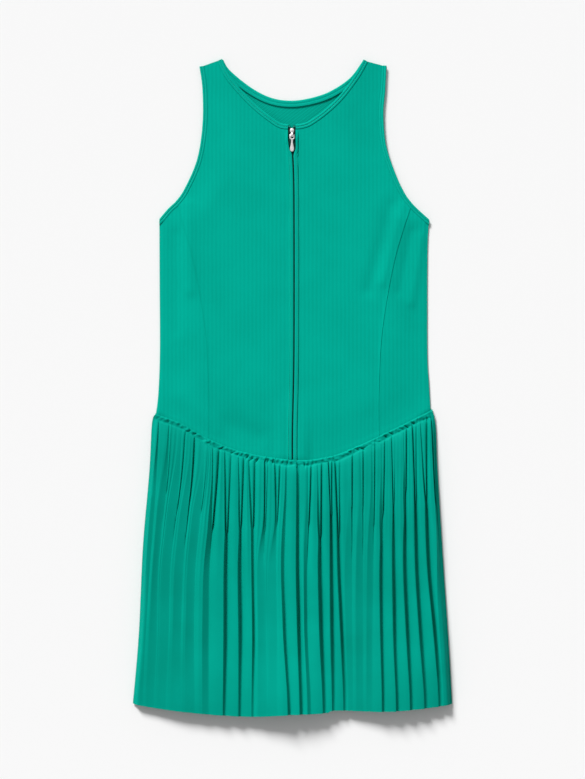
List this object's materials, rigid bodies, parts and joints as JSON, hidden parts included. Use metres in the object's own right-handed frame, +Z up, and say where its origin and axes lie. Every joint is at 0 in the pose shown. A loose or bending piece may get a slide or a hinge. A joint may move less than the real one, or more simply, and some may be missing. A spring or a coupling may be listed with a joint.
{
  "type": "dress",
  "caption": "Sleeveless dress laid flat: fitted bodice with a front zip, scooped neck, curved drop waist and a full pleated skirt.",
  "frame": {"origin": "centre of the dress's outline, on the surface that it lies on", "axes": "+Y from hem to neck, +Z up out of the front of the dress, +X to the right as seen from above"},
  "size_m": [0.4226, 0.8662, 0.0216],
  "materials": {
    "bodice_cloth": "matt fine-ribbed knit",
    "inside_cloth": "matt knit, back side",
    "skirt_cloth": "smooth woven, pleated",
    "zip_metal": "polished"
  },
  "bodies": {
    "dress": {"back_bodice": "inside_cloth", "back_neck_band": "bodice_cloth", "back_armhole_band_left": "bodice_cloth", "back_armhole_band_right": "bodice_cloth", "front_centre_left": "bodice_cloth", "front_centre_right": "bodice_cloth", "front_side_left": "bodice_cloth", "front_side_right": "bodice_cloth", "front_neck_band_left": "bodice_cloth", "front_neck_band_right": "bodice_cloth", "front_armhole_band_left": "bodice_cloth", "front_armhole_band_right": "bodice_cloth", "skirt_front": "skirt_cloth", "skirt_back": "skirt_cloth", "zip_tape_left": "inside_cloth", "zip_tape_right": "inside_cloth", "zip_slider": "zip_metal", "zip_stop_left": "zip_metal", "zip_stop_right": "zip_metal"},
    "pull": {"zip_pull": "zip_metal"}
  },
  "joints": [
    {"name": "pull_tab_hinge", "type": "hinge", "parent": "dress", "child": "pull", "pos_m": [-0.0007, 0.3323, 0.0062], "axis": [-1, 0, 0], "range_deg": [0, 160]}
  ]
}
